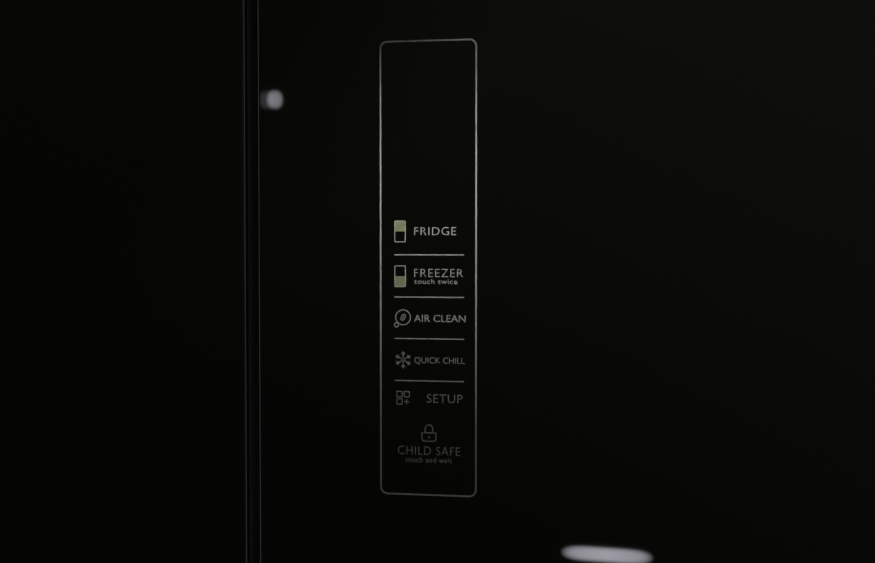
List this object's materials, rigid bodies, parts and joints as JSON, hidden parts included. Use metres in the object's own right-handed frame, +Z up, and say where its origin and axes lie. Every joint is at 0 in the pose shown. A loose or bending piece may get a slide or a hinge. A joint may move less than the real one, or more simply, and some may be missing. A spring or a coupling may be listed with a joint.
{
  "type": "refrigerator",
  "caption": "Free-standing cross-door refrigerator with black glass fronts and a touch panel behind the glass, refrigerator doors above freezer doors.",
  "frame": {"origin": "on the floor, in the middle of the footprint with the doors shut", "axes": "+Z up, the doors face -Y, +X to the right of someone who faces the doors"},
  "size_m": [0.833, 0.655, 1.8],
  "materials": {
    "black_glass": "polished tempered glass, black behind",
    "door_casing": "painted steel skin over rigid foam",
    "cabinet_steel": "satin powder paint",
    "back_steel": "galvanised sheet",
    "foam": "rigid insulating foam",
    "white_liner": "vacuum-formed sheet",
    "foamed_moulding": "plastic skin over foam",
    "clear_plastic": "clear moulding",
    "shelf_glass": "clear tempered glass",
    "trim_plastic": "satin moulding",
    "seal_rubber": "soft extrusion",
    "black_plastic": "fine moulded texture",
    "hinge_steel": "zinc plated",
    "compressor_paint": "black enamel",
    "copper": "drawn tube",
    "fin_aluminium": "rolled fins",
    "lamp_lens": "diffusing lens",
    "roller_plastic": "nylon",
    "module_plastic": "circuit module"
  },
  "bodies": {
    "cabinet": {"outer_shell": "cabinet_steel", "cabinet_foam": "foam", "back_panel": "back_steel", "fridge_liner": "white_liner", "freezer_liner": "white_liner", "fridge_centre_post": "foamed_moulding", "freezer_front_frame": "cabinet_steel", "freezer_divider": "foamed_moulding", "crisper_cover": "shelf_glass", "shelf_glass": "shelf_glass", "shelf_trims": "trim_plastic", "crisper_left": "clear_plastic", "crisper_right": "clear_plastic", "fridge_air_duct": "foamed_moulding", "fridge_lamp": "lamp_lens", "freezer_drawers_bottom": "clear_plastic", "freezer_drawers_middle": "clear_plastic", "freezer_drawers_top": "clear_plastic", "evaporator_cover": "white_liner", "evaporator": "fin_aluminium", "base_plate": "back_steel", "toe_grille": "black_plastic", "rear_cover": "black_plastic", "compressor": "compressor_paint", "compressor_grommets": "seal_rubber", "compressor_terminal_cover": "black_plastic", "drip_tray": "black_plastic", "condenser": "compressor_paint", "condenser_fan_frame": "black_plastic", "refrigerant_pipes": "copper", "filter_dryer": "copper", "top_hinges": "hinge_steel", "middle_hinges": "hinge_steel", "bottom_hinges": "hinge_steel", "hinge_covers": "black_plastic"},
    "evaporator_fan": {"evaporator_fan": "black_plastic"},
    "left_roller": {"left_roller": "roller_plastic"},
    "right_roller": {"right_roller": "roller_plastic"},
    "left_foot": {"left_foot": "black_plastic"},
    "right_foot": {"right_foot": "black_plastic"},
    "condenser_fan": {"condenser_fan": "black_plastic"},
    "upper_left_door": {"upper_left_door_glass": "black_glass", "upper_left_door_casing": "door_casing", "upper_left_door_liner": "white_liner", "upper_left_door_gasket": "seal_rubber", "upper_left_door_bins": "clear_plastic"},
    "lower_left_door": {"lower_left_door_glass": "black_glass", "lower_left_door_casing": "door_casing", "lower_left_door_liner": "white_liner", "lower_left_door_gasket": "seal_rubber"},
    "upper_right_door": {"upper_right_door_glass": "black_glass", "upper_right_door_casing": "door_casing", "upper_right_door_liner": "white_liner", "upper_right_door_gasket": "seal_rubber", "upper_right_door_bins": "clear_plastic", "display_module": "module_plastic"},
    "lower_right_door": {"lower_right_door_glass": "black_glass", "lower_right_door_casing": "door_casing", "lower_right_door_liner": "white_liner", "lower_right_door_gasket": "seal_rubber"}
  },
  "joints": [
    {"name": "upper_left_door_hinge", "type": "hinge", "parent": "cabinet", "child": "upper_left_door", "pos_m": [-0.4045, -0.2975, 1.2505], "axis": [0, 0, -1], "range_deg": [0, 120]},
    {"name": "upper_right_door_hinge", "type": "hinge", "parent": "cabinet", "child": "upper_right_door", "pos_m": [0.4045, -0.2975, 1.2505], "axis": [0, 0, 1], "range_deg": [0, 120]},
    {"name": "lower_left_door_hinge", "type": "hinge", "parent": "cabinet", "child": "lower_left_door", "pos_m": [-0.4045, -0.2975, 0.3785], "axis": [0, 0, -1], "range_deg": [0, 120]},
    {"name": "lower_right_door_hinge", "type": "hinge", "parent": "cabinet", "child": "lower_right_door", "pos_m": [0.4045, -0.2975, 0.3785], "axis": [0, 0, 1], "range_deg": [0, 120]},
    {"name": "evaporator_fan_spin", "type": "hinge", "parent": "cabinet", "child": "evaporator_fan", "pos_m": [0, 0.23, 0.615], "axis": [0, 1, 0], "continuous": true},
    {"name": "condenser_fan_spin", "type": "hinge", "parent": "cabinet", "child": "condenser_fan", "pos_m": [0.06, 0.225, 0.1245], "axis": [1, 0, 0], "continuous": true},
    {"name": "left_roller_spin", "type": "hinge", "parent": "cabinet", "child": "left_roller", "pos_m": [-0.3665, 0.2825, 0.02], "axis": [1, 0, 0], "continuous": true},
    {"name": "right_roller_spin", "type": "hinge", "parent": "cabinet", "child": "right_roller", "pos_m": [0.3665, 0.2825, 0.02], "axis": [1, 0, 0], "continuous": true},
    {"name": "left_foot_height", "type": "slide", "parent": "cabinet", "child": "left_foot", "axis": [0, 0, -1], "range_m": [0, 0.01]},
    {"name": "right_foot_height", "type": "slide", "parent": "cabinet", "child": "right_foot", "axis": [0, 0, -1], "range_m": [0, 0.01]}
  ]
}
